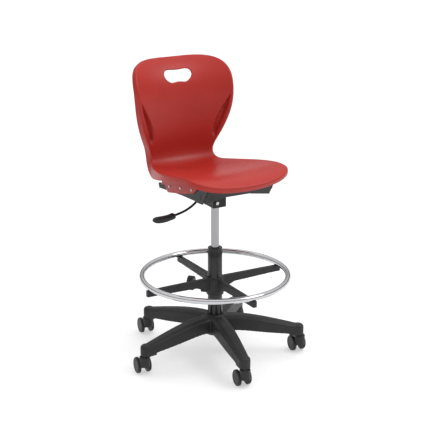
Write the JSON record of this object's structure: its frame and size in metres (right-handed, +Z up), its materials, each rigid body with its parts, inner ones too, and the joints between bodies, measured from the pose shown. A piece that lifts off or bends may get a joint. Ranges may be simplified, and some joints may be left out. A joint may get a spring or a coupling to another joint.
{
  "type": "drafting chair",
  "caption": "Tall swivel work chair with a one-piece moulded seat and back, gas lift column, chrome foot ring on a sliding spider, and a star base on twin-wheel casters.",
  "frame": {"origin": "on the floor, on the axis of the column, under the middle of the star base", "axes": "+Z up along the column, -Y the way the sitter faces, -X the sitter's right hand"},
  "size_m": [0.6052, 0.6273, 0.9979],
  "materials": {
    "black_nylon": "fine moulded texture",
    "black_grip": "satin moulded",
    "bearing_plastic": "smooth",
    "caster_wheel": "satin moulded",
    "black_gloss_paint": "gloss",
    "black_steel": "satin powder coat",
    "chrome": "bright",
    "ground_chrome": "ground and hard chromed",
    "zinc_steel": "zinc plated",
    "red_shell": "satin, lightly textured"
  },
  "bodies": {
    "base": {"star_base": "black_nylon", "hub_sleeve": "black_steel", "column_tube": "black_gloss_paint", "column_collar": "black_gloss_paint", "guide_bush": "bearing_plastic", "thrust_bearing": "zinc_steel"},
    "lift_rod": {"piston_rod": "zinc_steel", "piston_head": "zinc_steel", "retaining_clip": "zinc_steel"},
    "seat": {"gas_cylinder": "ground_chrome", "cylinder_seal": "bearing_plastic", "taper_socket": "zinc_steel", "mechanism_housing": "black_steel", "clamp_bolt": "zinc_steel", "mounting_plate": "black_steel", "mechanism_bolts": "zinc_steel", "mechanism_nuts": "zinc_steel", "side_bar_right": "black_steel", "side_bar_left": "black_steel", "front_bracket": "black_steel", "rear_crossbar": "black_steel", "shell_rivets": "zinc_steel", "seat_shell": "red_shell", "lever_pivot": "zinc_steel"},
    "release_pin": {"release_pin": "zinc_steel"},
    "lever": {"lever_rod": "black_steel", "lever_grip": "black_grip"},
    "ring_bush": {"ring_bush": "bearing_plastic"},
    "foot_ring": {"foot_ring": "chrome", "ring_spider": "black_nylon", "ring_screws": "zinc_steel"},
    "clamp_knob": {"clamp_knob": "black_grip", "knob_stud": "zinc_steel"},
    "caster_1": {"caster_1_hood": "black_nylon", "caster_1_stem": "zinc_steel", "caster_1_axle": "zinc_steel"},
    "caster_1_wheel_right": {"caster_1_wheel_right": "caster_wheel"},
    "caster_1_wheel_left": {"caster_1_wheel_left": "caster_wheel"},
    "caster_2": {"caster_2_hood": "black_nylon", "caster_2_stem": "zinc_steel", "caster_2_axle": "zinc_steel"},
    "caster_2_wheel_right": {"caster_2_wheel_right": "caster_wheel"},
    "caster_2_wheel_left": {"caster_2_wheel_left": "caster_wheel"},
    "caster_3": {"caster_3_hood": "black_nylon", "caster_3_stem": "zinc_steel", "caster_3_axle": "zinc_steel"},
    "caster_3_wheel_right": {"caster_3_wheel_right": "caster_wheel"},
    "caster_3_wheel_left": {"caster_3_wheel_left": "caster_wheel"},
    "caster_4": {"caster_4_hood": "black_nylon", "caster_4_stem": "zinc_steel", "caster_4_axle": "zinc_steel"},
    "caster_4_wheel_right": {"caster_4_wheel_right": "caster_wheel"},
    "caster_4_wheel_left": {"caster_4_wheel_left": "caster_wheel"},
    "caster_5": {"caster_5_hood": "black_nylon", "caster_5_stem": "zinc_steel", "caster_5_axle": "zinc_steel"},
    "caster_5_wheel_right": {"caster_5_wheel_right": "caster_wheel"},
    "caster_5_wheel_left": {"caster_5_wheel_left": "caster_wheel"}
  },
  "joints": [
    {"name": "seat_turn", "type": "hinge", "parent": "base", "child": "lift_rod", "pos_m": [0, 0, 0.095], "axis": [0, 0, 1], "continuous": true},
    {"name": "seat_height", "type": "slide", "parent": "lift_rod", "child": "seat", "axis": [0, 0, 1], "range_m": [-0.13, 0.07]},
    {"name": "lever_lift", "type": "hinge", "parent": "seat", "child": "lever", "pos_m": [-0.026, -0.0025, 0.5962], "axis": [0, 1, 0], "range_deg": [0, 6], "stiffness_Nm_per_rad": 3},
    {"name": "pin_press", "type": "slide", "parent": "seat", "child": "release_pin", "axis": [0, 0, -1], "range_m": [0, 0.003], "stiffness_N_per_m": 500},
    {"name": "ring_height", "type": "slide", "parent": "base", "child": "ring_bush", "axis": [0, 0, 1], "range_m": [-0.068, 0.078]},
    {"name": "ring_turn", "type": "hinge", "parent": "ring_bush", "child": "foot_ring", "pos_m": [0, 0, 0.253], "axis": [0, 0, 1], "continuous": true},
    {"name": "knob_turn", "type": "hinge", "parent": "foot_ring", "child": "clamp_knob", "pos_m": [-0.0594, 0.0594, 0.251], "axis": [-0.7071, 0.7071, 0], "range_deg": [0, 270]},
    {"name": "caster_1_swivel", "type": "hinge", "parent": "base", "child": "caster_1", "pos_m": [0.21434, 0.20269, 0.066], "axis": [0, 0, 1], "continuous": true},
    {"name": "caster_1_wheel_right_spin", "type": "hinge", "parent": "caster_1", "child": "caster_1_wheel_right", "pos_m": [0.21702, 0.22584, 0.0275], "axis": [0.9934, -0.1149, 0], "continuous": true},
    {"name": "caster_1_wheel_left_spin", "type": "hinge", "parent": "caster_1", "child": "caster_1_wheel_left", "pos_m": [0.21702, 0.22584, 0.0275], "axis": [0.9934, -0.1149, 0], "continuous": true},
    {"name": "caster_2_swivel", "type": "hinge", "parent": "base", "child": "caster_2", "pos_m": [-0.12654, 0.26648, 0.066], "axis": [0, 0, 1], "continuous": true},
    {"name": "caster_2_wheel_right_spin", "type": "hinge", "parent": "caster_2", "child": "caster_2_wheel_right", "pos_m": [-0.12386, 0.28963, 0.0275], "axis": [0.9934, -0.1149, 0], "continuous": true},
    {"name": "caster_2_wheel_left_spin", "type": "hinge", "parent": "caster_2", "child": "caster_2_wheel_left", "pos_m": [-0.12386, 0.28963, 0.0275], "axis": [0.9934, -0.1149, 0], "continuous": true},
    {"name": "caster_3_swivel", "type": "hinge", "parent": "base", "child": "caster_3", "pos_m": [-0.29254, -0.038, 0.066], "axis": [0, 0, 1], "continuous": true},
    {"name": "caster_3_wheel_right_spin", "type": "hinge", "parent": "caster_3", "child": "caster_3_wheel_right", "pos_m": [-0.28986, -0.01485, 0.0275], "axis": [0.9934, -0.1149, 0], "continuous": true},
    {"name": "caster_3_wheel_left_spin", "type": "hinge", "parent": "caster_3", "child": "caster_3_wheel_left", "pos_m": [-0.28986, -0.01485, 0.0275], "axis": [0.9934, -0.1149, 0], "continuous": true},
    {"name": "caster_4_swivel", "type": "hinge", "parent": "base", "child": "caster_4", "pos_m": [-0.05427, -0.28997, 0.066], "axis": [0, 0, 1], "continuous": true},
    {"name": "caster_4_wheel_right_spin", "type": "hinge", "parent": "caster_4", "child": "caster_4_wheel_right", "pos_m": [-0.05159, -0.26682, 0.0275], "axis": [0.9934, -0.1149, 0], "continuous": true},
    {"name": "caster_4_wheel_left_spin", "type": "hinge", "parent": "caster_4", "child": "caster_4_wheel_left", "pos_m": [-0.05159, -0.26682, 0.0275], "axis": [0.9934, -0.1149, 0], "continuous": true},
    {"name": "caster_5_swivel", "type": "hinge", "parent": "base", "child": "caster_5", "pos_m": [0.259, -0.14121, 0.066], "axis": [0, 0, 1], "continuous": true},
    {"name": "caster_5_wheel_right_spin", "type": "hinge", "parent": "caster_5", "child": "caster_5_wheel_right", "pos_m": [0.26168, -0.11807, 0.0275], "axis": [0.9934, -0.1149, 0], "continuous": true},
    {"name": "caster_5_wheel_left_spin", "type": "hinge", "parent": "caster_5", "child": "caster_5_wheel_left", "pos_m": [0.26168, -0.11807, 0.0275], "axis": [0.9934, -0.1149, 0], "continuous": true}
  ],
  "couplings": [
    {"joint": "pin_press", "follows": "lever_lift", "m_per_rad": 0.026}
  ]
}
